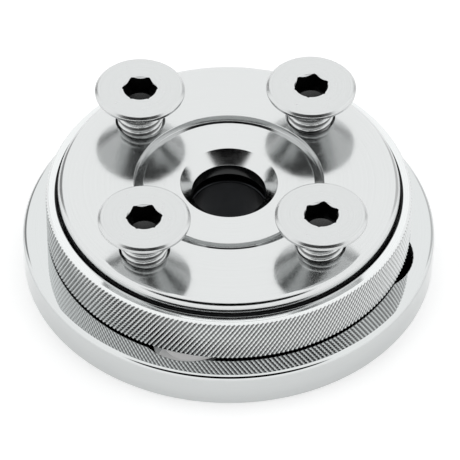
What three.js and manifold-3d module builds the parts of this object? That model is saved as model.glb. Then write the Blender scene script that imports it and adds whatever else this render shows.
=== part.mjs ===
// Height-adjustable case support for a watchmaker's press.
// A knurled ring turns on the base flange and its thread lifts the round work plate.
// Four countersunk screws stand in the plate as adjustable rests for a watch case.
// Millimetres, +Z up, z = 0 on the underside of the base flange, Z axis through the centre bore.
import * as THREE from "three";
import { mergeVertices } from "three/addons/utils/BufferGeometryUtils.js";
import Module from "manifold-3d";

const wasm = await Module();
wasm.setup();

const DEG = Math.PI / 180;

// Facets round a full circle.
const LARGE = 48;
const MEDIUM = 24;
const SMALL = 12;

// Centre bore, common to the plate and the sleeve.
const BORE_RADIUS = 4.72;

// Base flange.
const FLANGE_RADIUS = 26.35;
const FLANGE_TOP = 4.55;
const FLANGE_EDGE_ROUND = 0.65;
const FLANGE_FOOT_CHAMFER = 0.1;

// Four countersunk holes that fix the flange to a press bed, half under the knurled ring.
const FIXING_CIRCLE_RADIUS = 17.75;
const FIXING_ANGLES = [-16, 74, 164, 254];
const FIXING_HOLE_RADIUS = 3.3;
const FIXING_SINK_RADIUS = 6.45;

// Centre sleeve: a tube with a foot that is screwed into a recess under the flange.
const SLEEVE_RADIUS = 6.85;
const SLEEVE_TOP = 8.0;
const SLEEVE_EDGE = 0.25;
const SLEEVE_FOOT_RADIUS = 11.9;
const SLEEVE_FOOT_UNDERSIDE = 0.3;
const SLEEVE_FOOT_TOP = 2.4;
const SLEEVE_CLEARANCE = 0.1;
const SLEEVE_SCREW_CIRCLE_RADIUS = 9.2;
const SLEEVE_SCREW_ANGLES = [45, 135, 225, 315];
const SLEEVE_SCREW_HEAD_RADIUS = 2.3;
const SLEEVE_SCREW_SHANK_RADIUS = 1.25;
const SLEEVE_SCREW_TIP = 4;
const SLEEVE_SCREW_SOCKET = 1.5;
const SLEEVE_SCREW_SOCKET_DEPTH = 0.8;

// Two dowel pins that keep the plate from turning, and their bushes in the plate.
const PIN_CIRCLE_RADIUS = 16;
const PIN_ANGLES = [20, 200];
const PIN_RADIUS = 2;
const PIN_FOOT = 1.2;
const PIN_TOP = 10;
const PIN_CHAMFER = 0.3;
const BUSH_RADIUS = 3;
const BUSH_TOP = 11;
const BUSH_RUNNING_CLEARANCE = 0.06;

// Two shoulder screws from below that keep the plate and ring captive and stop the lift.
const RETAINER_CIRCLE_RADIUS = 17.5;
const RETAINER_ANGLES = [109, 289];
const RETAINER_HEAD_RADIUS = 3;
const RETAINER_HEAD_UNDERSIDE = 1;
const RETAINER_HEAD_TOP = 2.4;
const RETAINER_SHOULDER_RADIUS = 1.9;
const RETAINER_THREAD_RADIUS = 1.5;
const RETAINER_TIP = 10.4;
const RETAINER_SEAT = 3.45;
const RETAINER_SOCKET = 2.5;
const RETAINER_SOCKET_DEPTH = 0.9;

// Thrust washer between the flange and the ring.
const WASHER_INNER_RADIUS = 21.1;
const WASHER_OUTER_RADIUS = 22.5;
const WASHER_THICKNESS = 0.3;

// Knurled adjusting ring, with a threaded lower bore and a wider lip that guides the plate.
const RING_RADIUS = 23.28;
const RING_UNDERSIDE = FLANGE_TOP + WASHER_THICKNESS;
const RING_TOP = 11.1;
const RING_TOP_CHAMFER_WIDTH = 0.42;
const RING_TOP_CHAMFER_HEIGHT = 0.45;
const RING_EDGE_BREAK = 0.15;
const RING_LIP_RADIUS = 22.05;
const RING_THREAD_RADIUS = 21.2;
const RING_THREAD_TOP = 8.5;
const RING_THREAD_CHAMFER = 0.3;

// Dust seal in a groove of the ring's lip, close to the plate's rim.
const SEAL_INNER_RADIUS = 21.76;
const SEAL_OUTER_RADIUS = 22.4;
const SEAL_UNDERSIDE = 9.95;
const SEAL_TOP = 10.75;
const SEAL_CLEARANCE = 0.05;

// Work plate.
const PLATE_RADIUS = 21.7;
const PLATE_TOP = 12.7;
const PLATE_UNDERSIDE = 6.3;
const PLATE_EDGE_ROUND = 0.85;
const PLATE_RIM_UNDERSIDE = 9.35;
const PLATE_RIM_CHAMFER = 0.3;
const PLATE_THREAD_RADIUS = 20.85;
const GROOVE_INNER_RADIUS = 10.87;
const GROOVE_OUTER_RADIUS = 12.03;
const GROOVE_DEPTH = 0.9;
const CENTRE_LAND_DROP = 0.2;
const BORE_SINK_RADIUS = 6.2;
const BORE_SINK_DEPTH = 1.55;
const PLATE_COUNTERBORE_RADIUS = 7.05;
const PLATE_COUNTERBORE_TOP = 9.33;

// Case screws: countersunk hexagon socket screws, M6 x 10, at the corners of a rectangle.
const CASE_SCREW_SPACING_X = 21.9;
const CASE_SCREW_SPACING_Y = 23.14;
const CASE_SCREW_PATTERN_TURN = 2.5;
const CASE_SCREW_STANDOFF = [5.65, 5.35, 5.4, 5.65];
const CASE_SCREW_SOCKET_TURN = [6, 21, 19, 0];
const CASE_SCREW_LENGTH = 10;
const CASE_SCREW_HEAD_RADIUS = 5.75;
const CASE_SCREW_RIM_ROUND = 0.35;
const CASE_SCREW_RIM_HEIGHT = 0.65;
const CASE_SCREW_SHANK_RADIUS = 2.95;
const CASE_SCREW_TIP_CHAMFER = 0.6;
const CASE_SCREW_SOCKET = 4;
const CASE_SCREW_SOCKET_DEPTH = 2.6;
const CASE_SCREW_SOCKET_RIM_RADIUS = 2.42;
const CASE_HOLE_RADIUS = 3.03;
const CASE_HOLE_MOUTH_RADIUS = 3.2;

const PRESS_CLEARANCE = 0.02;
const BEYOND = 1; // how far a cutter reaches past the face it opens

const polishedSteel = { color: 0xdfe1e1, roughness: 0.08, metalness: 1 };
const satinSteel = { color: 0xd3d5d5, roughness: 0.25, metalness: 1 };
const screwSteel = { color: 0xcfd1d1, roughness: 0.3, metalness: 1 };
const hardenedSteel = { color: 0x9a9c9e, roughness: 0.3, metalness: 1 };
const bronze = { color: 0xb08a4e, roughness: 0.4, metalness: 1 };
const blackAcetal = { color: 0x101112, roughness: 0.5, metalness: 0 };
const blackRubber = { color: 0x0c0d0e, roughness: 0.75, metalness: 0 };

// Profile points that round an upper outer edge: a quarter circle about (r, z), from side to top.
function quarterRound(r, z, radius, steps = 3) {
  return Array.from({ length: steps + 1 }, (_, i) => {
    const angle = (90 * DEG * i) / steps;
    return [r + radius * Math.cos(angle), z + radius * Math.sin(angle)];
  });
}

// Turns [radius, height] pairs about Z. The pairs run anticlockwise: out, up, in.
function turnedFromAxis(profile, segments) {
  const points = profile.map(([r, z]) => new THREE.Vector2(r, z));
  return new THREE.LatheGeometry(points, segments).rotateX(Math.PI / 2);
}

// The same for a ring with a bore, whose profile closes on itself.
function turnedRing(profile, segments) {
  return turnedFromAxis([...profile, profile[0]], segments);
}

// A hexagonal prism of a given width across flats, corners on the X axis.
function hexagon(acrossFlats, fromZ, toZ) {
  const height = toZ - fromZ;
  const cornerRadius = acrossFlats / Math.sqrt(3);
  const prism = new THREE.CylinderGeometry(cornerRadius, cornerRadius, height, 6);
  return prism.rotateX(Math.PI / 2).rotateZ(Math.PI / 2).translate(0, 0, fromZ + height / 2);
}

function solidOf(geometry) {
  const bare = geometry.index ? geometry.toNonIndexed() : geometry.clone();
  bare.deleteAttribute("normal");
  bare.deleteAttribute("uv");
  const merged = mergeVertices(bare, 1e-4);
  const vertProperties = merged.attributes.position.array;
  const triVerts = new Uint32Array(merged.index.array);
  return new wasm.Manifold(new wasm.Mesh({ numProp: 3, vertProperties, triVerts }));
}

function geometryOf(solid) {
  const { vertProperties, triVerts } = solid.getMesh();
  const geometry = new THREE.BufferGeometry();
  geometry.setAttribute("position", new THREE.BufferAttribute(vertProperties, 3));
  geometry.setIndex(new THREE.BufferAttribute(triVerts, 1));
  geometry.computeVertexNormals();
  return geometry;
}

function cut(body, cutters) {
  return geometryOf(cutters.reduce((solid, cutter) => solid.subtract(solidOf(cutter)), solidOf(body)));
}

// A cutter or a piece copied to each angle of a circle about Z.
function spread(makeOne, circleRadius, angles) {
  return angles.map((angle) => {
    const turn = angle * DEG;
    return makeOne().translate(circleRadius * Math.cos(turn), circleRadius * Math.sin(turn), 0);
  });
}

function caseScrewPlaces() {
  const corners = [[-1, -1], [1, -1], [1, 1], [-1, 1]];
  return corners.map(([sx, sy], i) => {
    const place = new THREE.Vector3((sx * CASE_SCREW_SPACING_X) / 2, (sy * CASE_SCREW_SPACING_Y) / 2, 0);
    place.applyAxisAngle(new THREE.Vector3(0, 0, 1), CASE_SCREW_PATTERN_TURN * DEG);
    return place.setZ(PLATE_TOP + CASE_SCREW_STANDOFF[i]);
  });
}

function baseFlange() {
  const recessRadius = SLEEVE_FOOT_RADIUS + 2 * SLEEVE_CLEARANCE;
  const boreRadius = SLEEVE_RADIUS + SLEEVE_CLEARANCE;
  const edgeCentre = [FLANGE_RADIUS - FLANGE_EDGE_ROUND, FLANGE_TOP - FLANGE_EDGE_ROUND];
  const disc = turnedRing([
    [recessRadius, 0],
    [FLANGE_RADIUS - FLANGE_FOOT_CHAMFER, 0],
    [FLANGE_RADIUS, FLANGE_FOOT_CHAMFER],
    ...quarterRound(...edgeCentre, FLANGE_EDGE_ROUND),
    [boreRadius, FLANGE_TOP],
    [boreRadius, SLEEVE_FOOT_TOP],
    [recessRadius, SLEEVE_FOOT_TOP],
  ], LARGE);
  const fixingHole = () => turnedFromAxis([
    [0, -BEYOND],
    [FIXING_HOLE_RADIUS, -BEYOND],
    [FIXING_HOLE_RADIUS, FLANGE_TOP - (FIXING_SINK_RADIUS - FIXING_HOLE_RADIUS)],
    [FIXING_SINK_RADIUS, FLANGE_TOP],
    [FIXING_SINK_RADIUS, FLANGE_TOP + BEYOND],
    [0, FLANGE_TOP + BEYOND],
  ], MEDIUM);
  const pinHole = () => turnedFromAxis([
    [0, PIN_FOOT],
    [PIN_RADIUS + PRESS_CLEARANCE, PIN_FOOT],
    [PIN_RADIUS + PRESS_CLEARANCE, FLANGE_TOP + BEYOND],
    [0, FLANGE_TOP + BEYOND],
  ], SMALL);
  const retainerHole = () => turnedFromAxis([
    [0, -BEYOND],
    [RETAINER_HEAD_RADIUS + 2 * SLEEVE_CLEARANCE, -BEYOND],
    [RETAINER_HEAD_RADIUS + 2 * SLEEVE_CLEARANCE, RETAINER_SEAT],
    [RETAINER_SHOULDER_RADIUS + SLEEVE_CLEARANCE, RETAINER_SEAT],
    [RETAINER_SHOULDER_RADIUS + SLEEVE_CLEARANCE, FLANGE_TOP + BEYOND],
    [0, FLANGE_TOP + BEYOND],
  ], SMALL);
  const sleeveScrewHole = () => turnedFromAxis([
    [0, SLEEVE_FOOT_TOP - BEYOND],
    [SLEEVE_SCREW_SHANK_RADIUS + PRESS_CLEARANCE, SLEEVE_FOOT_TOP - BEYOND],
    [SLEEVE_SCREW_SHANK_RADIUS + PRESS_CLEARANCE, SLEEVE_SCREW_TIP],
    [0, SLEEVE_SCREW_TIP],
  ], SMALL);
  return cut(disc, [
    ...spread(fixingHole, FIXING_CIRCLE_RADIUS, FIXING_ANGLES),
    ...spread(pinHole, PIN_CIRCLE_RADIUS, PIN_ANGLES),
    ...spread(retainerHole, RETAINER_CIRCLE_RADIUS, RETAINER_ANGLES),
    ...spread(sleeveScrewHole, SLEEVE_SCREW_CIRCLE_RADIUS, SLEEVE_SCREW_ANGLES),
  ]);
}

// Height of the small screws' conical head, at 45 degrees.
const sleeveScrewSink = SLEEVE_SCREW_HEAD_RADIUS - SLEEVE_SCREW_SHANK_RADIUS;

function centreSleeve() {
  const tube = turnedRing([
    [BORE_RADIUS, SLEEVE_FOOT_UNDERSIDE],
    [SLEEVE_FOOT_RADIUS, SLEEVE_FOOT_UNDERSIDE],
    [SLEEVE_FOOT_RADIUS, SLEEVE_FOOT_TOP],
    [SLEEVE_RADIUS, SLEEVE_FOOT_TOP],
    [SLEEVE_RADIUS, SLEEVE_TOP - SLEEVE_EDGE],
    [SLEEVE_RADIUS - SLEEVE_EDGE, SLEEVE_TOP],
    [BORE_RADIUS + SLEEVE_EDGE, SLEEVE_TOP],
    [BORE_RADIUS, SLEEVE_TOP - SLEEVE_EDGE],
  ], MEDIUM);
  const screwHole = () => turnedFromAxis([
    [0, SLEEVE_FOOT_UNDERSIDE - BEYOND],
    [SLEEVE_SCREW_HEAD_RADIUS + PRESS_CLEARANCE, SLEEVE_FOOT_UNDERSIDE - BEYOND],
    [SLEEVE_SCREW_HEAD_RADIUS + PRESS_CLEARANCE, SLEEVE_FOOT_UNDERSIDE],
    [SLEEVE_SCREW_SHANK_RADIUS + PRESS_CLEARANCE, SLEEVE_FOOT_UNDERSIDE + sleeveScrewSink],
    [SLEEVE_SCREW_SHANK_RADIUS + PRESS_CLEARANCE, SLEEVE_FOOT_TOP + BEYOND],
    [0, SLEEVE_FOOT_TOP + BEYOND],
  ], SMALL);
  return cut(tube, spread(screwHole, SLEEVE_SCREW_CIRCLE_RADIUS, SLEEVE_SCREW_ANGLES));
}

function sleeveScrew() {
  const body = turnedFromAxis([
    [0, SLEEVE_FOOT_UNDERSIDE],
    [SLEEVE_SCREW_HEAD_RADIUS, SLEEVE_FOOT_UNDERSIDE],
    [SLEEVE_SCREW_SHANK_RADIUS, SLEEVE_FOOT_UNDERSIDE + sleeveScrewSink],
    [SLEEVE_SCREW_SHANK_RADIUS, SLEEVE_SCREW_TIP],
    [0, SLEEVE_SCREW_TIP],
  ], SMALL);
  const socketTop = SLEEVE_FOOT_UNDERSIDE + SLEEVE_SCREW_SOCKET_DEPTH;
  return cut(body, [hexagon(SLEEVE_SCREW_SOCKET, SLEEVE_FOOT_UNDERSIDE - BEYOND, socketTop)]);
}

function guidePin() {
  return turnedFromAxis([
    [0, PIN_FOOT],
    [PIN_RADIUS - PIN_CHAMFER, PIN_FOOT],
    [PIN_RADIUS, PIN_FOOT + PIN_CHAMFER],
    [PIN_RADIUS, PIN_TOP - PIN_CHAMFER],
    [PIN_RADIUS - PIN_CHAMFER, PIN_TOP],
    [0, PIN_TOP],
  ], SMALL);
}

function guideBush() {
  return turnedRing([
    [PIN_RADIUS + BUSH_RUNNING_CLEARANCE, PLATE_UNDERSIDE],
    [BUSH_RADIUS, PLATE_UNDERSIDE],
    [BUSH_RADIUS, BUSH_TOP],
    [PIN_RADIUS + BUSH_RUNNING_CLEARANCE, BUSH_TOP],
  ], SMALL);
}

function retainingScrew() {
  const body = turnedFromAxis([
    [0, RETAINER_HEAD_UNDERSIDE],
    [RETAINER_HEAD_RADIUS, RETAINER_HEAD_UNDERSIDE],
    [RETAINER_HEAD_RADIUS, RETAINER_HEAD_TOP],
    [RETAINER_SHOULDER_RADIUS, RETAINER_HEAD_TOP],
    [RETAINER_SHOULDER_RADIUS, PLATE_UNDERSIDE],
    [RETAINER_THREAD_RADIUS, PLATE_UNDERSIDE],
    [RETAINER_THREAD_RADIUS, RETAINER_TIP],
    [0, RETAINER_TIP],
  ], SMALL);
  const socketTop = RETAINER_HEAD_UNDERSIDE + RETAINER_SOCKET_DEPTH;
  return cut(body, [hexagon(RETAINER_SOCKET, RETAINER_HEAD_UNDERSIDE - BEYOND, socketTop)]);
}

function thrustWasher() {
  return turnedRing([
    [WASHER_INNER_RADIUS, FLANGE_TOP],
    [WASHER_OUTER_RADIUS, FLANGE_TOP],
    [WASHER_OUTER_RADIUS, RING_UNDERSIDE],
    [WASHER_INNER_RADIUS, RING_UNDERSIDE],
  ], LARGE);
}

function knurledRing() {
  const sealGrooveRadius = SEAL_OUTER_RADIUS + SEAL_CLEARANCE;
  return turnedRing([
    [RING_THREAD_RADIUS + RING_THREAD_CHAMFER, RING_UNDERSIDE],
    [RING_RADIUS - RING_EDGE_BREAK, RING_UNDERSIDE],
    [RING_RADIUS, RING_UNDERSIDE + RING_EDGE_BREAK],
    [RING_RADIUS, RING_TOP - RING_TOP_CHAMFER_HEIGHT],
    [RING_RADIUS - RING_TOP_CHAMFER_WIDTH, RING_TOP],
    [RING_LIP_RADIUS + RING_EDGE_BREAK, RING_TOP],
    [RING_LIP_RADIUS, RING_TOP - RING_EDGE_BREAK],
    [RING_LIP_RADIUS, SEAL_TOP + SEAL_CLEARANCE],
    [sealGrooveRadius, SEAL_TOP + SEAL_CLEARANCE],
    [sealGrooveRadius, SEAL_UNDERSIDE - SEAL_CLEARANCE],
    [RING_LIP_RADIUS, SEAL_UNDERSIDE - SEAL_CLEARANCE],
    [RING_LIP_RADIUS, RING_THREAD_TOP],
    [RING_THREAD_RADIUS, RING_THREAD_TOP],
    [RING_THREAD_RADIUS, RING_UNDERSIDE + RING_THREAD_CHAMFER],
  ], LARGE);
}

function dustSeal() {
  return turnedRing([
    [SEAL_INNER_RADIUS, SEAL_UNDERSIDE],
    [SEAL_OUTER_RADIUS, SEAL_UNDERSIDE],
    [SEAL_OUTER_RADIUS, SEAL_TOP],
    [SEAL_INNER_RADIUS, SEAL_TOP],
  ], LARGE);
}

function workPlate() {
  const centreLand = PLATE_TOP - CENTRE_LAND_DROP;
  const edgeCentre = [PLATE_RADIUS - PLATE_EDGE_ROUND, PLATE_TOP - PLATE_EDGE_ROUND];
  const disc = turnedRing([
    [PLATE_COUNTERBORE_RADIUS, PLATE_UNDERSIDE],
    [PLATE_THREAD_RADIUS - PLATE_RIM_CHAMFER, PLATE_UNDERSIDE],
    [PLATE_THREAD_RADIUS, PLATE_UNDERSIDE + PLATE_RIM_CHAMFER],
    [PLATE_THREAD_RADIUS, PLATE_RIM_UNDERSIDE],
    [PLATE_RADIUS - PLATE_RIM_CHAMFER, PLATE_RIM_UNDERSIDE],
    [PLATE_RADIUS, PLATE_RIM_UNDERSIDE + PLATE_RIM_CHAMFER],
    ...quarterRound(...edgeCentre, PLATE_EDGE_ROUND),
    [GROOVE_OUTER_RADIUS, PLATE_TOP],
    [GROOVE_OUTER_RADIUS, PLATE_TOP - GROOVE_DEPTH],
    [GROOVE_INNER_RADIUS, PLATE_TOP - GROOVE_DEPTH],
    [GROOVE_INNER_RADIUS, centreLand],
    [BORE_SINK_RADIUS, centreLand],
    [BORE_RADIUS, centreLand - BORE_SINK_DEPTH],
    [BORE_RADIUS, PLATE_COUNTERBORE_TOP],
    [PLATE_COUNTERBORE_RADIUS, PLATE_COUNTERBORE_TOP],
  ], LARGE);
  const mouth = CASE_HOLE_MOUTH_RADIUS - CASE_HOLE_RADIUS;
  const caseScrewHoles = caseScrewPlaces().map(({ x, y }) => turnedFromAxis([
    [0, PLATE_UNDERSIDE - BEYOND],
    [CASE_HOLE_RADIUS, PLATE_UNDERSIDE - BEYOND],
    [CASE_HOLE_RADIUS, PLATE_TOP - mouth],
    [CASE_HOLE_MOUTH_RADIUS, PLATE_TOP],
    [CASE_HOLE_MOUTH_RADIUS, PLATE_TOP + BEYOND],
    [0, PLATE_TOP + BEYOND],
  ], MEDIUM).translate(x, y, 0));
  const blindHole = (radius, top) => () => turnedFromAxis([
    [0, PLATE_UNDERSIDE - BEYOND],
    [radius + PRESS_CLEARANCE, PLATE_UNDERSIDE - BEYOND],
    [radius + PRESS_CLEARANCE, top],
    [0, top],
  ], SMALL);
  return cut(disc, [
    ...caseScrewHoles,
    ...spread(blindHole(BUSH_RADIUS, BUSH_TOP), PIN_CIRCLE_RADIUS, PIN_ANGLES),
    ...spread(blindHole(RETAINER_THREAD_RADIUS, RETAINER_TIP), RETAINER_CIRCLE_RADIUS, RETAINER_ANGLES),
  ]);
}

// Drawn hanging from its head's top face at z = 0.
function caseScrew() {
  const cone = CASE_SCREW_HEAD_RADIUS - CASE_SCREW_SHANK_RADIUS;
  const rimCentre = [CASE_SCREW_HEAD_RADIUS - CASE_SCREW_RIM_ROUND, -CASE_SCREW_RIM_ROUND];
  const body = turnedFromAxis([
    [0, -CASE_SCREW_LENGTH],
    [CASE_SCREW_SHANK_RADIUS - CASE_SCREW_TIP_CHAMFER, -CASE_SCREW_LENGTH],
    [CASE_SCREW_SHANK_RADIUS, -CASE_SCREW_LENGTH + CASE_SCREW_TIP_CHAMFER],
    [CASE_SCREW_SHANK_RADIUS, -CASE_SCREW_RIM_HEIGHT - cone],
    [CASE_SCREW_HEAD_RADIUS, -CASE_SCREW_RIM_HEIGHT],
    ...quarterRound(...rimCentre, CASE_SCREW_RIM_ROUND, 2),
    [0, 0],
  ], MEDIUM);
  const socketRimDepth = CASE_SCREW_SOCKET_RIM_RADIUS - CASE_SCREW_SOCKET / 2;
  const socketRim = turnedFromAxis([
    [0, -socketRimDepth],
    [CASE_SCREW_SOCKET / 2, -socketRimDepth],
    [CASE_SCREW_SOCKET_RIM_RADIUS, 0],
    [CASE_SCREW_SOCKET_RIM_RADIUS, BEYOND],
    [0, BEYOND],
  ], MEDIUM);
  return cut(body, [hexagon(CASE_SCREW_SOCKET, -CASE_SCREW_SOCKET_DEPTH, BEYOND), socketRim]);
}

function piece(name, geometry, look) {
  const mesh = new THREE.Mesh(geometry, new THREE.MeshStandardMaterial(look));
  mesh.name = name;
  return mesh;
}

function numbered(name, geometries, look) {
  return geometries.map((geometry, i) => piece(`${name}_${i + 1}`, geometry, look));
}

const base = new THREE.Group();
base.add(piece("base_flange", baseFlange(), polishedSteel));
base.add(piece("centre_sleeve", centreSleeve(), satinSteel));
const sleeveScrews = spread(sleeveScrew, SLEEVE_SCREW_CIRCLE_RADIUS, SLEEVE_SCREW_ANGLES);
base.add(...numbered("sleeve_screw", sleeveScrews, hardenedSteel));
base.add(...numbered("guide_pin", spread(guidePin, PIN_CIRCLE_RADIUS, PIN_ANGLES), hardenedSteel));
base.add(piece("thrust_washer", thrustWasher(), blackAcetal));

const ring = new THREE.Group();
ring.add(piece("knurled_ring", knurledRing(), polishedSteel));
ring.add(piece("dust_seal", dustSeal(), blackRubber));

const plate = new THREE.Group();
plate.add(piece("work_plate", workPlate(), satinSteel));
plate.add(...numbered("guide_bush", spread(guideBush, PIN_CIRCLE_RADIUS, PIN_ANGLES), bronze));
const retainers = spread(retainingScrew, RETAINER_CIRCLE_RADIUS, RETAINER_ANGLES);
plate.add(...numbered("retaining_screw", retainers, hardenedSteel));
caseScrewPlaces().forEach((place, i) => {
  const screw = piece(`case_screw_${i + 1}`, caseScrew(), screwSteel);
  screw.position.copy(place);
  screw.rotation.z = CASE_SCREW_SOCKET_TURN[i] * DEG;
  plate.add(screw);
});

const casePressSupport = new THREE.Group();
casePressSupport.add(base, ring, plate);

export default casePressSupport;
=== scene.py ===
import math

import bmesh
import bpy
from mathutils import Matrix, Vector


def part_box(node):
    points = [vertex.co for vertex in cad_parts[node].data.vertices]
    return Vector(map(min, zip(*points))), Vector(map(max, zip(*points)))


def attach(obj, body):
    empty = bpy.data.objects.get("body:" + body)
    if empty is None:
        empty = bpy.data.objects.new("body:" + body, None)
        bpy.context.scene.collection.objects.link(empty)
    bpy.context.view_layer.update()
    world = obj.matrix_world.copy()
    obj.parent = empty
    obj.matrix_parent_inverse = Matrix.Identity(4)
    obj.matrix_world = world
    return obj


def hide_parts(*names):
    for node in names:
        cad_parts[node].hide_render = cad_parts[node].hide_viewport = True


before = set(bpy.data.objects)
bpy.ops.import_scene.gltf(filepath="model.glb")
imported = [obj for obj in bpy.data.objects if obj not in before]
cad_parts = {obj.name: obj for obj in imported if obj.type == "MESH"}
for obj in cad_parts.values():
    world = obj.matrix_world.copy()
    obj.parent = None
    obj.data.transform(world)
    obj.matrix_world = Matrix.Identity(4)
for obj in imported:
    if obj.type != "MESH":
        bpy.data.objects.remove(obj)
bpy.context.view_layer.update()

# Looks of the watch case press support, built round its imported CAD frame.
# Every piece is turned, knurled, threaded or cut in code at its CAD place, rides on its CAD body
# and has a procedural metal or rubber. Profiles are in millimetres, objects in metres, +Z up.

MM = 0.001
TURN = 2 * math.pi

# ---------------------------------------------------------------- sizes read from the frame


def span(node):
    """A CAD node's lowest and highest corner in millimetres."""
    low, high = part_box(node)
    return low / MM, high / MM


def outer_radius(node):
    low, high = span(node)
    return max(high.x - low.x, high.y - low.y) / 2


def axis_of(node):
    """Where a round node's axis stands, in millimetres."""
    low, high = span(node)
    return Vector(((low.x + high.x) / 2, (low.y + high.y) / 2, 0))


FLANGE_RADIUS = outer_radius("base_flange")
FLANGE_TOP = span("base_flange")[1].z
WASHER_RADIUS = outer_radius("thrust_washer")
RING_RADIUS = outer_radius("knurled_ring")
RING_FOOT, RING_TOP = (corner.z for corner in span("knurled_ring"))
SEAL_RADIUS = outer_radius("dust_seal")
SEAL_FOOT, SEAL_TOP = (corner.z for corner in span("dust_seal"))
PLATE_RADIUS = outer_radius("work_plate")
PLATE_FOOT, PLATE_TOP = (corner.z for corner in span("work_plate"))
SLEEVE_FOOT, SLEEVE_TOP = (corner.z for corner in span("centre_sleeve"))
SLEEVE_FOOT_RADIUS = outer_radius("centre_sleeve")
PIN_FOOT, PIN_TOP = (corner.z for corner in span("guide_pin_1"))
BUSH_TOP = span("guide_bush_1")[1].z
RETAINER_FOOT, RETAINER_TIP = (corner.z for corner in span("retaining_screw_1"))
SLEEVE_SCREW_TIP = span("sleeve_screw_1")[1].z

# ---------------------------------------------------------------- sizes of the details, in mm

BORE_RADIUS = 4.72

FLANGE_EDGE_ROUND = 0.65
FLANGE_FOOT_CHAMFER = 0.1
FIXING_CIRCLE_RADIUS = 17.75
FIXING_ANGLES = (-16, 74, 164, 254)
FIXING_HOLE_RADIUS = 3.3
FIXING_SINK_RADIUS = 6.45

SLEEVE_RADIUS = 6.85
SLEEVE_FOOT_TOP = 2.4
SLEEVE_CLEARANCE = 0.1
SLEEVE_SCREW_HEAD_RADIUS = 2.3
SLEEVE_SCREW_SHANK_RADIUS = 1.25
SLEEVE_SCREW_SOCKET = 1.5
SLEEVE_SCREW_SOCKET_DEPTH = 0.8

PIN_RADIUS = 2.0
BUSH_RADIUS = 3.0
RUNNING_CLEARANCE = 0.06

RETAINER_HEAD_RADIUS = 3.0
RETAINER_HEAD_TOP = 2.4
RETAINER_SHOULDER_RADIUS = 1.9
RETAINER_THREAD_RADIUS = 1.5
RETAINER_SEAT = 3.45
RETAINER_SOCKET = 2.5
RETAINER_SOCKET_DEPTH = 0.9

WASHER_BORE_RADIUS = 21.1

RING_THREAD_RADIUS = 21.2
RING_THREAD_TOP = 8.5
RING_LIP_RADIUS = 22.05
RING_CHAMFER_WIDTH = 0.34
RING_CHAMFER_HEIGHT = 0.45
KNURL_TEETH = 248
KNURL_ANGLE = math.radians(31)
KNURL_DEPTH = 0.2
KNURL_CROSS_DEPTH = 0.07

SEAL_BORE_RADIUS = 21.76
SEAL_GROOVE_CLEARANCE = 0.05

PLATE_EDGE_ROUND = 0.85
PLATE_RIM_FOOT = 9.35
PLATE_THREAD_RADIUS = 20.85
GROOVE_INNER_RADIUS = 10.87
GROOVE_OUTER_RADIUS = 12.03
GROOVE_DEPTH = 0.9
LAND_DROP = 0.2
SINK_RADIUS = 6.2
SINK_DEPTH = 1.55
COUNTERBORE_RADIUS = 7.05
COUNTERBORE_TOP = 9.33
CASE_HOLE_RADIUS = 3.03
CASE_HOLE_MOUTH_RADIUS = 3.2

CASE_SCREW_HEAD_RADIUS = 5.75
CASE_SCREW_RIM_CHAMFER = 0.33
CASE_SCREW_RIM_HEIGHT = 0.65
CASE_SCREW_SHANK_RADIUS = 2.95
CASE_SCREW_LENGTH = 10.0
CASE_SCREW_PITCH = 1.0
CASE_SCREW_THREAD_DEPTH = 0.5
CASE_SCREW_TIP_CHAMFER = 0.6
CASE_SCREW_SOCKET = 4.0
CASE_SCREW_SOCKET_DEPTH = 2.6
CASE_SCREW_SOCKET_RIM_RADIUS = 2.16
CASE_SCREW_SOCKET_RIM_DEPTH = 0.22
CASE_SCREW_SOCKET_TURNS = (6, 21, 19, 0)

BEYOND = 1.0
BREAK = 0.08
LARGE = 240
MEDIUM = 96
SMALL = 48
ARC_STEPS = 6
SHARP_ANGLE = math.radians(33)
LEVEL = 0.9999

# ---------------------------------------------------------------- turning, cutting and finishing


def rounded(corners):
    """Profile points from corners (radius, height, fillet): each fillet becomes an arc."""
    points = []
    for i, (radius, height, *fillet) in enumerate(corners):
        here = Vector((radius, height))
        if not fillet:
            points.append(here)
            continue
        before = (Vector(corners[i - 1][:2]) - here).normalized()
        after = (Vector(corners[(i + 1) % len(corners)][:2]) - here).normalized()
        half = before.angle(after) / 2
        centre = here + (before + after).normalized() * fillet[0] / math.sin(half)
        start = here + before * fillet[0] / math.tan(half) - centre
        end = here + after * fillet[0] / math.tan(half) - centre
        sweep = math.atan2(start.cross(end), start.dot(end))
        for step in range(ARC_STEPS + 1):
            spoke = start.copy()
            spoke.rotate(Matrix.Rotation(sweep * step / ARC_STEPS, 2))
            points.append(centre + spoke)
    return points


def ring_of(bm, radius, height, segments, relief):
    """One circle of a turned piece's vertices, or a single one on the axis."""
    if radius < MM:
        return [bm.verts.new((0, 0, height * MM))] * segments
    verts = []
    for k in range(segments):
        angle = TURN * k / segments
        r = relief(angle, radius, height) if relief else radius
        verts.append(bm.verts.new((r * math.cos(angle) * MM, r * math.sin(angle) * MM, height * MM)))
    return verts


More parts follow.
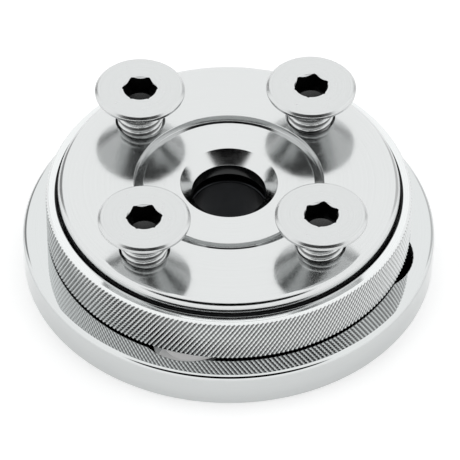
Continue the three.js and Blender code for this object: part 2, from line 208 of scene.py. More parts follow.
def turned(name, corners, segments=MEDIUM, relief=None, woven=None):
    """A closed solid turned about Z. The corners run out, up and in, from the axis or round a bore.

    relief(angle, radius, height) gives the cut surface's radius, and between the heights in
    woven the faces are split along alternate diagonals, as a knurl's pyramids need.
    """
    profile = rounded(corners)
    bm = bmesh.new()
    rings = [ring_of(bm, r, z, segments, relief) for r, z in profile]
    pairs = list(zip(range(len(rings)), range(1, len(rings))))
    if profile[0].x >= MM:
        pairs.append((len(rings) - 1, 0))
    for i, j in pairs:
        lower, upper = rings[i], rings[j]
        weave = woven and woven[0] - MM < profile[i].y and profile[j].y < woven[1] + MM
        weave = weave and min(profile[i].x, profile[j].x) > woven[2]
        for k in range(segments):
            m = (k + 1) % segments
            quad = [lower[k], lower[m], upper[m], upper[k]]
            if weave and (i + k) % 2:
                bm.faces.new((quad[0], quad[1], quad[3]))
                bm.faces.new((quad[1], quad[2], quad[3]))
            elif weave:
                bm.faces.new((quad[0], quad[1], quad[2]))
                bm.faces.new((quad[0], quad[2], quad[3]))
            else:
                bm.faces.new(list(dict.fromkeys(quad)))
    mesh = bpy.data.meshes.new(name)
    bm.to_mesh(mesh)
    bm.free()
    piece = bpy.data.objects.new(name, mesh)
    bpy.context.scene.collection.objects.link(piece)
    return piece


def moved(piece, x, y, z=0.0, turn=0.0):
    """The piece with its mesh moved by millimetres and turned by degrees about its own axis."""
    place = Matrix.Translation(Vector((x, y, z)) * MM)
    piece.data.transform(place @ Matrix.Rotation(math.radians(turn), 4, "Z"))
    return piece


def spread(make, places):
    """One made piece at each place of a list."""
    return [moved(make(), place.x, place.y) for place in places]


def on_circle(radius, angles):
    return [Vector((radius, 0, 0)) @ Matrix.Rotation(-math.radians(a), 3, "Z") for a in angles]


def evaluated(piece):
    """Replaces a piece's mesh by what its modifiers make of it."""
    graph = bpy.context.evaluated_depsgraph_get()
    made = bpy.data.meshes.new_from_object(piece.evaluated_get(graph))
    piece.modifiers.clear()
    piece.data = made


def cut(piece, cutters):
    """Cuts the cutters out of the piece, one after another, and removes them."""
    for cutter in cutters:
        modifier = piece.modifiers.new("cut", "BOOLEAN")
        modifier.operation = "DIFFERENCE"
        modifier.solver = "EXACT"
        modifier.object = cutter
        evaluated(piece)
        bpy.data.objects.remove(cutter)
    return piece


def keep_flats_flat(mesh):
    """Marks the borders of level faces sharp, so that no fillet bends their shading."""
    bm = bmesh.new()
    bm.from_mesh(mesh)
    for edge in bm.edges:
        if len({abs(face.normal.z) > LEVEL for face in edge.link_faces}) > 1:
            edge.smooth = False
    bm.to_mesh(mesh)
    bm.free()


def finished(piece, material, body, nodes):
    """Shades a piece, gives it its material and body, and hides the CAD nodes it stands for."""
    for face in piece.data.polygons:
        face.use_smooth = True
    piece.data.set_sharp_from_angle(angle=SHARP_ANGLE)
    keep_flats_flat(piece.data)
    weighted = piece.modifiers.new("weighted normals", "WEIGHTED_NORMAL")
    weighted.keep_sharp = True
    evaluated(piece)
    piece.data.materials.clear()
    piece.data.materials.append(material)
    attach(piece, body)
    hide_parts(*nodes)
    return piece


def hexagon(across_flats, foot, top):
    """A hexagonal prism that cuts a socket."""
    radius = across_flats / math.sqrt(3)
    return turned("socket", [(0, foot), (radius, foot), (radius, top), (0, top)], 6)


# ---------------------------------------------------------------- materials


# Painted shade: the scale on the colour deep in bores and sockets, standing in for the shade down them.
RECESS_SHADE = 0.12


def ranged(tree, value, start, end, low=0.0, high=1.0):
    """A Map Range node's result: the stretch of value from start to end becomes low to high."""
    node = tree.nodes.new("ShaderNodeMapRange")
    for socket, number in zip(("From Min", "From Max", "To Min", "To Max"), (start, end, low, high)):
        node.inputs[socket].default_value = number
    tree.links.new(value, node.inputs["Value"])
    return node.outputs["Result"]


def combined(tree, operation, *values):
    """Math nodes that join any number of values by one operation, two at a time."""
    result = values[0]
    for value in values[1:]:
        node = tree.nodes.new("ShaderNodeMath")
        node.operation = operation
        tree.links.new(result, node.inputs[0])
        tree.links.new(value, node.inputs[1])
        result = node.outputs[0]
    return result


def darkened(tree, shader, unshaded):
    """Scales the shader's colour by a factor that is 1 where no shade is painted and falls where painted
    shade goes.
    """
    shade = tree.nodes.new("ShaderNodeVectorMath")
    shade.operation = "SCALE"
    tree.links.new(shader.inputs["Base Color"].links[0].from_socket, shade.inputs[0])
    tree.links.new(unshaded, shade.inputs["Scale"])
    tree.links.new(shade.outputs[0], shader.inputs["Base Color"])


def paint_recess_shade(tree, shader, radius, height, limits):
    """Paints shade into a bore or a socket: darkens it inside a radius, under its top and under a cone.

    limits are (radius, top, the cone's height on the axis, its rise per radius), in metres.
    """
    inside, top, apex, rise = limits
    under_cone = tree.nodes.new("ShaderNodeMath")
    under_cone.operation = "MULTIPLY_ADD"
    tree.links.new(radius, under_cone.inputs[0])
    under_cone.inputs[1].default_value = -rise
    tree.links.new(height, under_cone.inputs[2])
    darkened(tree, shader, combined(
        tree, "MAXIMUM",
        ranged(tree, radius, inside, inside + 1e-5, RECESS_SHADE),
        ranged(tree, height, top, top + 1e-5, RECESS_SHADE),
        ranged(tree, under_cone.outputs[0], apex, apex + 1e-5, RECESS_SHADE),
    ))


def paint_groove_shade(tree, shader, radius, height, limits):
    """Paints shade into the grooves of a knurl or a thread, below their crests.

    limits are (crest radius, the height where its chamfer starts, chamfer width, top, depth of flank
    left unshaded, darkest shade), in metres.
    """
    crest, chamfer_foot, chamfer_width, top, unshaded_flank, darkest = limits
    inset = ranged(tree, height, chamfer_foot, top, 0, chamfer_width)
    full_radius = combined(tree, "ADD", radius, inset)
    darkened(tree, shader, combined(
        tree, "MAXIMUM",
        ranged(tree, full_radius, crest - 2 * unshaded_flank, crest - unshaded_flank, darkest),
        ranged(tree, height, top - 3e-5, top - 2e-5),
    ))


def metal(name, colour, roughness, gloss_spread, mark_height, mark_pitch, mottle, recess_shade_limits=None, groove_shade_limits=None):
    """A turned metal: fine concentric marks round the piece's Z axis, in its colour, gloss and relief.

    mark_height and mark_pitch are the marks' height and spacing in metres, and mottle the share
    of brightness that the marks take away. The last two arguments give the limits of painted shade:
    in a bore or socket, and in the grooves of a knurl or thread.
    """
    material = bpy.data.materials.new(name)
    material.use_nodes = True
    tree = material.node_tree
    nodes, links = tree.nodes, tree.links
    shader = nodes["Principled BSDF"]
    shader.inputs["Metallic"].default_value = 1.0

    place = nodes.new("ShaderNodeTexCoord")
    split = nodes.new("ShaderNodeSeparateXYZ")
    links.new(place.outputs["Object"], split.inputs[0])
    height = split.outputs["Z"]
    flat = nodes.new("ShaderNodeCombineXYZ")
    links.new(split.outputs["X"], flat.inputs["X"])
    links.new(split.outputs["Y"], flat.inputs["Y"])
    from_axis = nodes.new("ShaderNodeVectorMath")
    from_axis.operation = "LENGTH"
    links.new(flat.outputs[0], from_axis.inputs[0])
    radius = from_axis.outputs["Value"]

    marks = nodes.new("ShaderNodeTexNoise")
    marks.noise_dimensions = "1D"
    marks.inputs["Scale"].default_value = 1 / mark_pitch
    marks.inputs["Detail"].default_value = 3.0
    marks.inputs["Roughness"].default_value = 0.7
    links.new(combined(tree, "ADD", radius, height), marks.inputs["W"])

    clouds = nodes.new("ShaderNodeTexNoise")
    clouds.inputs["Scale"].default_value = 900.0
    clouds.inputs["Detail"].default_value = 5.0
    links.new(place.outputs["Object"], clouds.inputs["Vector"])
    gloss = ranged(tree, clouds.outputs["Fac"], 0.3, 0.7, roughness, roughness + gloss_spread)
    links.new(gloss, shader.inputs["Roughness"])

    tint = nodes.new("ShaderNodeValToRGB")
    tint.color_ramp.elements[0].position = 0.3
    tint.color_ramp.elements[0].color = (*[c * (1 - mottle) for c in colour], 1)
    tint.color_ramp.elements[1].position = 0.7
    tint.color_ramp.elements[1].color = (*colour, 1)
    links.new(marks.outputs["Fac"], tint.inputs["Fac"])
    links.new(tint.outputs["Color"], shader.inputs["Base Color"])
    if recess_shade_limits:
        paint_recess_shade(tree, shader, radius, height, recess_shade_limits)
    if groove_shade_limits:
        paint_groove_shade(tree, shader, radius, height, groove_shade_limits)

    bump = nodes.new("ShaderNodeBump")
    bump.inputs["Distance"].default_value = mark_height
    links.new(marks.outputs["Fac"], bump.inputs["Height"])
    links.new(bump.outputs["Normal"], shader.inputs["Normal"])
    return material


def rubber(name, colour):
    """Matt rubber or plastic with a fine grain."""
    material = bpy.data.materials.new(name)
    material.use_nodes = True
    tree = material.node_tree
    nodes, links = tree.nodes, tree.links
    shader = nodes["Principled BSDF"]
    place = nodes.new("ShaderNodeTexCoord")
    grain = nodes.new("ShaderNodeTexNoise")
    grain.inputs["Scale"].default_value = 6000.0
    links.new(place.outputs["Object"], grain.inputs["Vector"])
    tint = nodes.new("ShaderNodeValToRGB")
    tint.color_ramp.elements[0].color = (*[c * 0.6 for c in colour], 1)
    tint.color_ramp.elements[1].color = (*colour, 1)
    links.new(grain.outputs["Fac"], tint.inputs["Fac"])
    links.new(tint.outputs["Color"], shader.inputs["Base Color"])
    links.new(ranged(tree, grain.outputs["Fac"], 0, 1, 0.6, 0.85), shader.inputs["Roughness"])
    bump = nodes.new("ShaderNodeBump")
    bump.inputs["Distance"].default_value = 4e-6
    links.new(grain.outputs["Fac"], bump.inputs["Height"])
    links.new(bump.outputs["Normal"], shader.inputs["Normal"])
    return material


SOCKET_RIM_WIDTH = CASE_SCREW_SOCKET_RIM_RADIUS - CASE_SCREW_SOCKET / 2
SOCKET_RIM_SLOPE = CASE_SCREW_SOCKET_RIM_DEPTH / SOCKET_RIM_WIDTH
# Painted shade in the case screws' hex sockets: inside the hexagon, under the top and under the rim's
# cone.
SOCKET_SHADE = (
    (CASE_SCREW_SOCKET / math.sqrt(3) + 0.02) * MM,
    -0.03 * MM,
    -(CASE_SCREW_SOCKET_RIM_RADIUS * SOCKET_RIM_SLOPE + 0.04) * MM,
    SOCKET_RIM_SLOPE,
)
SINK_FOOT = PLATE_TOP - LAND_DROP - SINK_DEPTH
# Painted shade down the plate's bore, below the countersink's foot.
BORE_SHADE = ((BORE_RADIUS + 0.03) * MM, (SINK_FOOT - 0.02) * MM, (SINK_FOOT - 0.02) * MM, 0)
# Painted shade in the knurl's grooves below the crests.
KNURL_GROOVE_SHADE = (
    RING_RADIUS * MM,
    (RING_TOP - RING_CHAMFER_HEIGHT) * MM,
    RING_CHAMFER_WIDTH * MM,
    RING_TOP * MM,
    0.07 * MM,
    0.25,
)
THREAD_START = -(CASE_SCREW_RIM_HEIGHT + CASE_SCREW_HEAD_RADIUS - CASE_SCREW_SHANK_RADIUS) * MM
# Painted shade in the case screws' thread valleys.
THREAD_GROOVE_SHADE = (
    CASE_SCREW_SHANK_RADIUS * MM,
    THREAD_START,
    0,
    THREAD_START + 3e-5,
    0.16 * MM,
    0.2,
)

# polished_ring carries painted shade in its knurl grooves, ground_plate down its bore, and satin_screw in
# its sockets and thread valleys.
polished_flange = metal("polished flange steel", (0.61, 0.625, 0.625), 0.02, 0.02, 1.5e-7, 2e-4, 0.02)
polished_ring = metal(
    "polished ring steel", (0.72, 0.735, 0.735), 0.1, 0.06, 8e-7, 1.2e-4, 0.05, groove_shade_limits=KNURL_GROOVE_SHADE)
ground_plate = metal(
    "ground plate steel", (0.63, 0.64, 0.64), 0.11, 0.05, 1.2e-6, 1.5e-4, 0.05, BORE_SHADE)
satin_screw = metal(
    "satin screw steel", (0.60, 0.61, 0.61), 0.2, 0.08, 1.5e-6, 1.5e-4, 0.06, SOCKET_SHADE, THREAD_GROOVE_SHADE)
# Near-black steel for the centre sleeve: a black finish whose dark also paints the shade down the centre
# bore.
blackened_sleeve_and_bore_shade = metal("blackened steel and painted bore shade", (0.035, 0.037, 0.04), 0.3, 0.1, 2e-6, 1e-4, 0.2)
dark_steel = metal("hardened steel", (0.30, 0.31, 0.32), 0.25, 0.1, 2e-6, 1e-4, 0.1)
bronze = metal("bearing bronze", (0.62, 0.43, 0.21), 0.3, 0.1, 2e-6, 1.2e-4, 0.12)
black_acetal = rubber("black acetal", (0.012, 0.012, 0.013))
seal_rubber = rubber("seal rubber", (0.02, 0.021, 0.023))

# ---------------------------------------------------------------- base

FIXING_PLACES = on_circle(FIXING_CIRCLE_RADIUS, FIXING_ANGLES)
PIN_PLACES = [axis_of(f"guide_pin_{n}") for n in (1, 2)]
RETAINER_PLACES = [axis_of(f"retaining_screw_{n}") for n in (1, 2)]
SLEEVE_SCREW_PLACES = [axis_of(f"sleeve_screw_{n}") for n in (1, 2, 3, 4)]


def hole(radius, foot, top):
    return turned("hole", [(0, foot), (radius, foot), (radius, top), (0, top)], SMALL)


def base_flange():
    recess = SLEEVE_FOOT_RADIUS + 2 * SLEEVE_CLEARANCE
    bore = SLEEVE_RADIUS + SLEEVE_CLEARANCE
    disc = turned("flange", [
        (recess, 0, BREAK),
        (FLANGE_RADIUS, 0, FLANGE_FOOT_CHAMFER),
        (FLANGE_RADIUS, FLANGE_TOP, FLANGE_EDGE_ROUND),
        (bore, FLANGE_TOP, BREAK),
        (bore, SLEEVE_FOOT_TOP),
        (recess, SLEEVE_FOOT_TOP),
    ], LARGE)

    def fixing_hole():
        sink_foot = FLANGE_TOP - (FIXING_SINK_RADIUS - FIXING_HOLE_RADIUS)
        return turned("hole", [
            (0, -BEYOND),
            (FIXING_HOLE_RADIUS, -BEYOND),
            (FIXING_HOLE_RADIUS, sink_foot, BREAK),
            (FIXING_SINK_RADIUS, FLANGE_TOP, 2 * BREAK),
            (FIXING_SINK_RADIUS + BEYOND, FLANGE_TOP + 0.02),
            (FIXING_SINK_RADIUS + BEYOND, FLANGE_TOP + BEYOND),
            (0, FLANGE_TOP + BEYOND),
        ], MEDIUM)

    def retainer_hole():
        wide = RETAINER_HEAD_RADIUS + 2 * SLEEVE_CLEARANCE
        narrow = RETAINER_SHOULDER_RADIUS + SLEEVE_CLEARANCE
        return turned("hole", [
            (0, -BEYOND),
            (wide, -BEYOND),
            (wide, RETAINER_SEAT),
            (narrow, RETAINER_SEAT),
            (narrow, FLANGE_TOP + BEYOND),
            (0, FLANGE_TOP + BEYOND),
        ], SMALL)

    return cut(disc, [
        *spread(fixing_hole, FIXING_PLACES),
        *spread(retainer_hole, RETAINER_PLACES),
        *spread(lambda: hole(PIN_RADIUS, PIN_FOOT, FLANGE_TOP + BEYOND), PIN_PLACES),
        *spread(lambda: hole(SLEEVE_SCREW_SHANK_RADIUS, 2.0, SLEEVE_SCREW_TIP), SLEEVE_SCREW_PLACES),
    ])


SLEEVE_SCREW_SINK = SLEEVE_SCREW_HEAD_RADIUS - SLEEVE_SCREW_SHANK_RADIUS


def centre_sleeve():
    tube = turned("sleeve", [
        (BORE_RADIUS, SLEEVE_FOOT, 0.2),
        (SLEEVE_FOOT_RADIUS, SLEEVE_FOOT, 0.15),
        (SLEEVE_FOOT_RADIUS, SLEEVE_FOOT_TOP),
        (SLEEVE_RADIUS, SLEEVE_FOOT_TOP),
        (SLEEVE_RADIUS, SLEEVE_TOP, 0.25),
        (BORE_RADIUS, SLEEVE_TOP, 0.25),
    ])

    def screw_hole():
        return turned("hole", [
            (0, SLEEVE_FOOT - BEYOND),
            (SLEEVE_SCREW_HEAD_RADIUS, SLEEVE_FOOT - BEYOND),
            (SLEEVE_SCREW_HEAD_RADIUS, SLEEVE_FOOT),
            (SLEEVE_SCREW_SHANK_RADIUS, SLEEVE_FOOT + SLEEVE_SCREW_SINK),
            (SLEEVE_SCREW_SHANK_RADIUS, SLEEVE_FOOT_TOP + BEYOND),
            (0, SLEEVE_FOOT_TOP + BEYOND),
        ], SMALL)

    return cut(tube, spread(screw_hole, SLEEVE_SCREW_PLACES))


def sleeve_screw():
    body = turned("sleeve_screw", [
        (0, SLEEVE_FOOT),
        (SLEEVE_SCREW_HEAD_RADIUS, SLEEVE_FOOT, 0.05),
        (SLEEVE_SCREW_SHANK_RADIUS, SLEEVE_FOOT + SLEEVE_SCREW_SINK),
        (SLEEVE_SCREW_SHANK_RADIUS, SLEEVE_SCREW_TIP, 0.2),
        (0, SLEEVE_SCREW_TIP),
    ], SMALL)
    socket_top = SLEEVE_FOOT + SLEEVE_SCREW_SOCKET_DEPTH
    return cut(body, [hexagon(SLEEVE_SCREW_SOCKET, SLEEVE_FOOT - BEYOND, socket_top)])


def guide_pin():
    return turned("guide_pin", [
        (0, PIN_FOOT),
        (PIN_RADIUS, PIN_FOOT, 0.25),
        (PIN_RADIUS, PIN_TOP, 0.3),
        (0, PIN_TOP),
    ], SMALL)


def thrust_washer():
    return turned("thrust_washer_ring", [
        (WASHER_BORE_RADIUS, FLANGE_TOP, BREAK),
        (WASHER_RADIUS, FLANGE_TOP, BREAK),
        (WASHER_RADIUS, RING_FOOT, BREAK),
        (WASHER_BORE_RADIUS, RING_FOOT, BREAK),
    ], LARGE)


def numbered(pieces, material, body, node):
    """Finishes repeated pieces, each for its own CAD node."""
    for number, piece in enumerate(pieces, 1):
        piece.name = f"{node}_look_{number}"
        finished(piece, material, body, [f"{node}_{number}"])


finished(base_flange(), polished_flange, "base", ["base_flange"])
finished(centre_sleeve(), blackened_sleeve_and_bore_shade, "base", ["centre_sleeve"])
numbered(spread(sleeve_screw, SLEEVE_SCREW_PLACES), dark_steel, "base", "sleeve_screw")
numbered(spread(guide_pin, PIN_PLACES), dark_steel, "base", "guide_pin")
finished(thrust_washer(), black_acetal, "base", ["thrust_washer"])

# ---------------------------------------------------------------- knurled ring

KNURL_PITCH = TURN * RING_RADIUS / KNURL_TEETH
KNURL_LEAD = KNURL_PITCH / math.tan(KNURL_ANGLE)
KNURL_STEPS = 4
KNURL_FOOT = RING_FOOT + 0.08
KNURL_TOP = RING_TOP - RING_CHAMFER_HEIGHT
CHAMFER_STEPS = 10


def valley(phase):
    """0 on a knurl ridge and 1 at the bottom of its groove."""
    return 2 * abs(phase - round(phase))


def knurl_cut(angle, radius, height):
    """The radius left by the two crossing sets of knurl grooves."""
    across = KNURL_TEETH * angle / TURN
    along = (height - KNURL_FOOT) / KNURL_LEAD
    depth = max(KNURL_DEPTH * valley(across - along), KNURL_CROSS_DEPTH * valley(across + along))
    return min(radius, RING_RADIUS - depth)


def knurled_ring():
    rows = int((KNURL_TOP - KNURL_FOOT) / KNURL_LEAD * KNURL_STEPS)
    groove = SEAL_RADIUS + SEAL_GROOVE_CLEARANCE
    shares = [step / CHAMFER_STEPS for step in range(CHAMFER_STEPS)]
    chamfer = [
        (RING_RADIUS - RING_CHAMFER_WIDTH * share, KNURL_TOP + RING_CHAMFER_HEIGHT * share)
        for share in shares
    ]
    return turned("adjusting_ring", [
        (RING_THREAD_RADIUS, RING_FOOT, 0.25),
        (RING_RADIUS - 0.1, RING_FOOT, 0.02),
        *[(RING_RADIUS, KNURL_FOOT + KNURL_LEAD * row / KNURL_STEPS) for row in range(rows + 1)],
        *chamfer,
        (RING_RADIUS - RING_CHAMFER_WIDTH, RING_TOP, 0.05),
        (RING_LIP_RADIUS, RING_TOP, 0.12),
        (RING_LIP_RADIUS, SEAL_TOP + SEAL_GROOVE_CLEARANCE),
        (groove, SEAL_TOP + SEAL_GROOVE_CLEARANCE),
        (groove, SEAL_FOOT - SEAL_GROOVE_CLEARANCE),
        (RING_LIP_RADIUS, SEAL_FOOT - SEAL_GROOVE_CLEARANCE),
        (RING_LIP_RADIUS, RING_THREAD_TOP),
        (RING_THREAD_RADIUS, RING_THREAD_TOP, BREAK),
    ], KNURL_TEETH * KNURL_STEPS, knurl_cut, (KNURL_FOOT, RING_TOP, RING_RADIUS - RING_CHAMFER_WIDTH))


def dust_seal():
    middle = (SEAL_FOOT + SEAL_TOP) / 2
    return turned("wiper_seal", [
        (SEAL_BORE_RADIUS + 0.15, SEAL_FOOT, 0.05),
        (SEAL_RADIUS, SEAL_FOOT, 0.05),
        (SEAL_RADIUS, SEAL_TOP, 0.05),
        (SEAL_BORE_RADIUS + 0.15, SEAL_TOP, 0.05),
        (SEAL_BORE_RADIUS, middle, 0.1),
    ], LARGE)


finished(knurled_ring(), polished_ring, "ring", ["knurled_ring"])
finished(dust_seal(), seal_rubber, "ring", ["dust_seal"])

# ---------------------------------------------------------------- work plate

CASE_SCREW_PLACES = [axis_of(f"case_screw_{n}") for n in (1, 2, 3, 4)]


def work_plate():
    land = PLATE_TOP - LAND_DROP
    disc = turned("plate", [
        (COUNTERBORE_RADIUS, PLATE_FOOT, 0.15),
        (PLATE_THREAD_RADIUS, PLATE_FOOT, 0.25),
        (PLATE_THREAD_RADIUS, PLATE_RIM_FOOT),
        (PLATE_RADIUS, PLATE_RIM_FOOT, 0.25),
        (PLATE_RADIUS, PLATE_TOP, PLATE_EDGE_ROUND),
        (GROOVE_OUTER_RADIUS, PLATE_TOP, BREAK),
        (GROOVE_OUTER_RADIUS, PLATE_TOP - GROOVE_DEPTH, BREAK),
        (GROOVE_INNER_RADIUS, PLATE_TOP - GROOVE_DEPTH, BREAK),
        (GROOVE_INNER_RADIUS, land, BREAK),
        (SINK_RADIUS, land, BREAK),
        (BORE_RADIUS, land - SINK_DEPTH, 0.05),
        (BORE_RADIUS, COUNTERBORE_TOP, BREAK),
        (COUNTERBORE_RADIUS, COUNTERBORE_TOP),
    ], LARGE)

    def case_screw_hole():
        return turned("hole", [
            (0, PLATE_FOOT - BEYOND),
            (CASE_HOLE_RADIUS, PLATE_FOOT - BEYOND),
            (CASE_HOLE_RADIUS, PLATE_TOP - 0.15, 0.03),
            (CASE_HOLE_MOUTH_RADIUS, PLATE_TOP, 0.05),
            (CASE_HOLE_MOUTH_RADIUS + BEYOND, PLATE_TOP + 0.02),
            (CASE_HOLE_MOUTH_RADIUS + BEYOND, PLATE_TOP + BEYOND),
            (0, PLATE_TOP + BEYOND),
        ], MEDIUM)

    return cut(disc, [
        *spread(case_screw_hole, CASE_SCREW_PLACES),
        *spread(lambda: hole(BUSH_RADIUS, PLATE_FOOT - BEYOND, BUSH_TOP), PIN_PLACES),
        *spread(lambda: hole(RETAINER_THREAD_RADIUS, PLATE_FOOT - BEYOND, RETAINER_TIP), RETAINER_PLACES),
    ])


def guide_bush():
    return turned("guide_bush", [
        (PIN_RADIUS + RUNNING_CLEARANCE, PLATE_FOOT, BREAK),
        (BUSH_RADIUS, PLATE_FOOT, BREAK),
        (BUSH_RADIUS, BUSH_TOP, BREAK),
        (PIN_RADIUS + RUNNING_CLEARANCE, BUSH_TOP, BREAK),
    ], SMALL)


def retaining_screw():
    body = turned("retaining_screw", [
        (0, RETAINER_FOOT),
        (RETAINER_HEAD_RADIUS, RETAINER_FOOT, 0.2),
        (RETAINER_HEAD_RADIUS, RETAINER_HEAD_TOP, BREAK),
        (RETAINER_SHOULDER_RADIUS, RETAINER_HEAD_TOP),
        (RETAINER_SHOULDER_RADIUS, PLATE_FOOT, BREAK),
        (RETAINER_THREAD_RADIUS, PLATE_FOOT),
        (RETAINER_THREAD_RADIUS, RETAINER_TIP, 0.3),
        (0, RETAINER_TIP),
    ], SMALL)
    socket_top = RETAINER_FOOT + RETAINER_SOCKET_DEPTH
    return cut(body, [hexagon(RETAINER_SOCKET, RETAINER_FOOT - BEYOND, socket_top)])


finished(work_plate(), ground_plate, "plate", ["work_plate"])
numbered(spread(guide_bush, PIN_PLACES), bronze, "plate", "guide_bush")
numbered(spread(retaining_screw, RETAINER_PLACES), dark_steel, "plate", "retaining_screw")

# ---------------------------------------------------------------- case screws

THREAD_TOP = -CASE_SCREW_RIM_HEIGHT - (CASE_SCREW_HEAD_RADIUS - CASE_SCREW_SHANK_RADIUS)
THREAD_STEPS = 16


def thread_cut(angle, radius, height):
    """The radius left by a right-hand thread that runs out at the head's cone."""
    if height > THREAD_TOP:
        return radius
    fade = min(1, (THREAD_TOP - height) / (CASE_SCREW_PITCH / 2))
    wave = 0.5 - 0.5 * math.cos(TURN * height / CASE_SCREW_PITCH - angle)
    return min(radius, CASE_SCREW_SHANK_RADIUS - CASE_SCREW_THREAD_DEPTH * wave * fade)


def case_screw():
    """Drawn hanging from its head's top face at z = 0."""
    shank_foot = -CASE_SCREW_LENGTH + CASE_SCREW_TIP_CHAMFER
    rows = int((THREAD_TOP - shank_foot) / CASE_SCREW_PITCH * THREAD_STEPS)
    rise = (THREAD_TOP - shank_foot) / rows
    body = turned("case_screw", [
        (0, -CASE_SCREW_LENGTH),
        (CASE_SCREW_SHANK_RADIUS - CASE_SCREW_TIP_CHAMFER, -CASE_SCREW_LENGTH, 0.05),
        *[(CASE_SCREW_SHANK_RADIUS, shank_foot + rise * row) for row in range(rows)],
        (CASE_SCREW_SHANK_RADIUS, THREAD_TOP),
        (CASE_SCREW_HEAD_RADIUS, -CASE_SCREW_RIM_HEIGHT, 0.12),
        (CASE_SCREW_HEAD_RADIUS, -0.85 * CASE_SCREW_RIM_CHAMFER, 0.12),
        (CASE_SCREW_HEAD_RADIUS - CASE_SCREW_RIM_CHAMFER, 0, 0.12),
        (0, 0),
    ], MEDIUM, thread_cut)
    rim = turned("rim", [
        (0, -CASE_SCREW_SOCKET_RIM_DEPTH),
        (CASE_SCREW_SOCKET / 2, -CASE_SCREW_SOCKET_RIM_DEPTH),
        (CASE_SCREW_SOCKET_RIM_RADIUS, 0, 0.05),
        (CASE_SCREW_SOCKET_RIM_RADIUS + 0.4, 0.02),
        (CASE_SCREW_SOCKET_RIM_RADIUS + 0.4, BEYOND),
        (0, BEYOND),
    ], MEDIUM)
    drill = turned("drill", [
        (0, -CASE_SCREW_SOCKET_DEPTH - 0.7),
        (CASE_SCREW_SOCKET / 2 - 0.15, -CASE_SCREW_SOCKET_DEPTH),
        (CASE_SCREW_SOCKET / 2 - 0.15, -BEYOND),
        (0, -BEYOND),
    ], SMALL)
    return cut(body, [hexagon(CASE_SCREW_SOCKET, -CASE_SCREW_SOCKET_DEPTH, BEYOND), drill, rim])


first_screw = case_screw()
for number, (place, turn) in enumerate(zip(CASE_SCREW_PLACES, CASE_SCREW_SOCKET_TURNS), 1):
    screw = first_screw.copy()
    screw.data = first_screw.data.copy()
    screw.name = f"case_screw_look_{number}"
    bpy.context.scene.collection.objects.link(screw)
    screw.location = Vector((place.x, place.y, span(f"case_screw_{number}")[1].z)) * MM
    screw.rotation_euler.z = math.radians(turn)
    finished(screw, satin_screw, f"case_screw_{number}", [f"case_screw_{number}"])
bpy.data.objects.remove(first_screw)

# ---------------------------------------------------------------- floor, light and camera

CAMERA_ELEVATION = math.radians(44.66)
CAMERA_DISTANCE = 0.481
FIELD_OF_VIEW = math.radians(6.927)
AIM_RIGHT = 0.17 * MM
AIM_BELOW = 6.17 * MM
ROLL = math.radians(0.4)
# Dark ovals of the tent: middle direction, stretch along X, Y and Z, inner and outer edge, shade.
TENT_OVALS = (
    ((0, -0.54, 0.842), (0.57, 1, 1), 0.35, 0.44, 0.0),
    ((-0.6, 0.72, 0.3), (1, 1, 0.6), 0.2, 0.28, 0.3),
    ((0.6, 0.72, 0.3), (1, 1, 0.6), 0.2, 0.28, 0.6),
)
TENT_STRENGTH = 1.27
FLOOR_SHADE = 0.76
FLOOR_DROP = 0.02 * MM
FLOOR_GLOW = 0.38


def pale_floor():
    """A white light table, a hair below the object so that no two faces coincide."""
    bm = bmesh.new()
    bmesh.ops.create_grid(bm, x_segments=8, y_segments=8, size=1.5)
    mesh = bpy.data.meshes.new("floor")
    bm.to_mesh(mesh)
    bm.free()
    floor = bpy.data.objects.new("floor", mesh)
    bpy.context.scene.collection.objects.link(floor)
    material = bpy.data.materials.new("pale floor")
    material.use_nodes = True
    shader = material.node_tree.nodes["Principled BSDF"]
    shader.inputs["Base Color"].default_value = (FLOOR_SHADE, FLOOR_SHADE, FLOOR_SHADE, 1)
    shader.inputs["Roughness"].default_value = 0.9
    shader.inputs["Specular IOR Level"].default_value = 0.2
    shader.inputs["Emission Color"].default_value = (1, 1, 1, 1)
    shader.inputs["Emission Strength"].default_value = FLOOR_GLOW
    mesh.materials.append(material)
    floor.location.z = -FLOOR_DROP


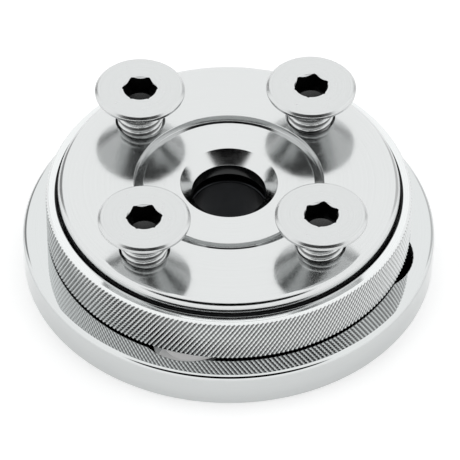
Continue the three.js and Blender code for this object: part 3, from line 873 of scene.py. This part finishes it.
def studio_tent():
    """A pale light tent: a dark opening high in front, and two soft grey flags low behind."""
    world = bpy.data.worlds.new("studio tent")
    bpy.context.scene.world = world
    world.use_nodes = True
    tree = world.node_tree
    nodes, links = tree.nodes, tree.links
    direction = nodes.new("ShaderNodeTexCoord").outputs["Generated"]

    def outside_oval(middle, stretch, inner, outer, shade):
        """shade inside an oval round the direction middle, rising softly to 1 outside it."""
        offset = nodes.new("ShaderNodeVectorMath")
        offset.operation = "SUBTRACT"
        links.new(direction, offset.inputs[0])
        offset.inputs[1].default_value = middle
        scaled = nodes.new("ShaderNodeVectorMath")
        scaled.operation = "MULTIPLY"
        links.new(offset.outputs["Vector"], scaled.inputs[0])
        scaled.inputs[1].default_value = stretch
        length = nodes.new("ShaderNodeVectorMath")
        length.operation = "LENGTH"
        links.new(scaled.outputs["Vector"], length.inputs[0])
        light = ranged(tree, length.outputs["Value"], inner, outer, shade)
        light.node.interpolation_type = "SMOOTHSTEP"
        return light

    light = combined(tree, "MULTIPLY", *[outside_oval(*oval) for oval in TENT_OVALS])
    ramp = nodes.new("ShaderNodeValToRGB")
    links.new(light, ramp.inputs["Fac"])
    ramp.color_ramp.elements[0].color = (0.0, 0.0, 0.0, 1)
    ramp.color_ramp.elements[1].color = (0.995, 1.0, 1.0, 1)
    background = nodes["Background"]
    background.inputs["Strength"].default_value = TENT_STRENGTH
    links.new(ramp.outputs["Color"], background.inputs["Color"])


def main_camera():
    viewer = Vector((0, -math.cos(CAMERA_ELEVATION), math.sin(CAMERA_ELEVATION)))
    up = Vector((0, viewer.z, -viewer.y))
    target = Vector((0, 0, PLATE_TOP * MM))
    aim = target + Vector((AIM_RIGHT, 0, 0)) - up * AIM_BELOW
    data = bpy.data.cameras.new("main camera")
    data.angle = FIELD_OF_VIEW
    data.clip_start = 0.01
    camera = bpy.data.objects.new("main camera", data)
    bpy.context.scene.collection.objects.link(camera)
    camera.location = target + viewer * CAMERA_DISTANCE
    facing = (aim - camera.location).to_track_quat("-Z", "Y").to_matrix()
    camera.rotation_euler = (facing @ Matrix.Rotation(ROLL, 3, "Z")).to_euler()
    bpy.context.scene.camera = camera


pale_floor()
studio_tent()
main_camera()
bpy.context.scene.view_settings.view_transform = "Standard"
